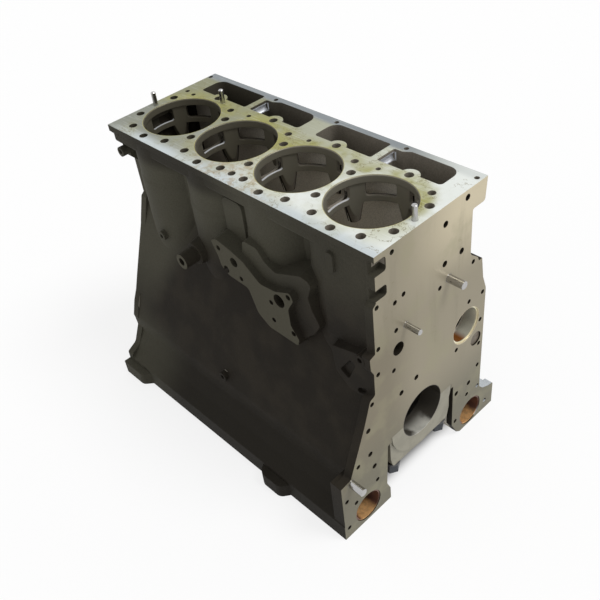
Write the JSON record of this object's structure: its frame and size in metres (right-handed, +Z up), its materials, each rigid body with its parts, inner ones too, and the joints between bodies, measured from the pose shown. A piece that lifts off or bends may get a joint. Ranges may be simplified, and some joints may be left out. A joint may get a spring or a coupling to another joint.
{
  "type": "engine block",
  "caption": "Bare in-line engine block for wet liners, with main bearing caps, cam bearings, balancer bushes, dowels and pins.",
  "frame": {"origin": "on the crank axis, midway along the row of cylinders", "axes": "+X along the crank axis to the timing end, +Z up to the deck, +Y to the camshaft side"},
  "size_m": [0.682, 0.43, 0.565],
  "materials": {
    "block_iron": "as-cast outside, milled on the deck and ends",
    "cap_iron": "machined faces, as-cast sides",
    "bolt_steel": "black oiled",
    "washer_steel": "hardened, dark",
    "bush_copper": "bored bronze",
    "bearing_steel": "bored, shiny",
    "pin_steel": "ground",
    "plug_steel": "pressed steel"
  },
  "bodies": {
    "root": {"balancer_bush_front_left": "bush_copper", "balancer_bush_front_right": "bush_copper", "balancer_bush_rear_left": "bush_copper", "balancer_bush_rear_right": "bush_copper", "block_casting": "block_iron", "cam_bearing_1": "bearing_steel", "cam_bearing_2": "bearing_steel", "cam_bearing_3": "bearing_steel", "cam_bearing_4": "bearing_steel", "cam_bearing_5": "bearing_steel", "deck_dowel_front": "pin_steel", "deck_dowel_rear": "pin_steel", "deck_dowel_side": "pin_steel", "flywheel_face_dowel_left": "pin_steel", "flywheel_face_dowel_right": "pin_steel", "idler_bore_plug": "plug_steel", "jacket_plug_left": "plug_steel", "jacket_plug_right": "plug_steel", "main_cap_1": "cap_iron", "main_cap_2": "cap_iron", "main_cap_3": "cap_iron", "main_cap_4": "cap_iron", "main_cap_5": "cap_iron", "main_cap_bolt_1_left": "bolt_steel", "main_cap_bolt_1_right": "bolt_steel", "main_cap_bolt_2_left": "bolt_steel", "main_cap_bolt_2_right": "bolt_steel", "main_cap_bolt_3_left": "bolt_steel", "main_cap_bolt_3_right": "bolt_steel", "main_cap_bolt_4_left": "bolt_steel", "main_cap_bolt_4_right": "bolt_steel", "main_cap_bolt_5_left": "bolt_steel", "main_cap_bolt_5_right": "bolt_steel", "main_cap_washers": "washer_steel", "rear_cam_plug": "plug_steel", "timing_face_pin_lower": "pin_steel", "timing_face_pin_middle": "pin_steel", "timing_face_pin_upper": "pin_steel"}
  },
  "joints": []
}
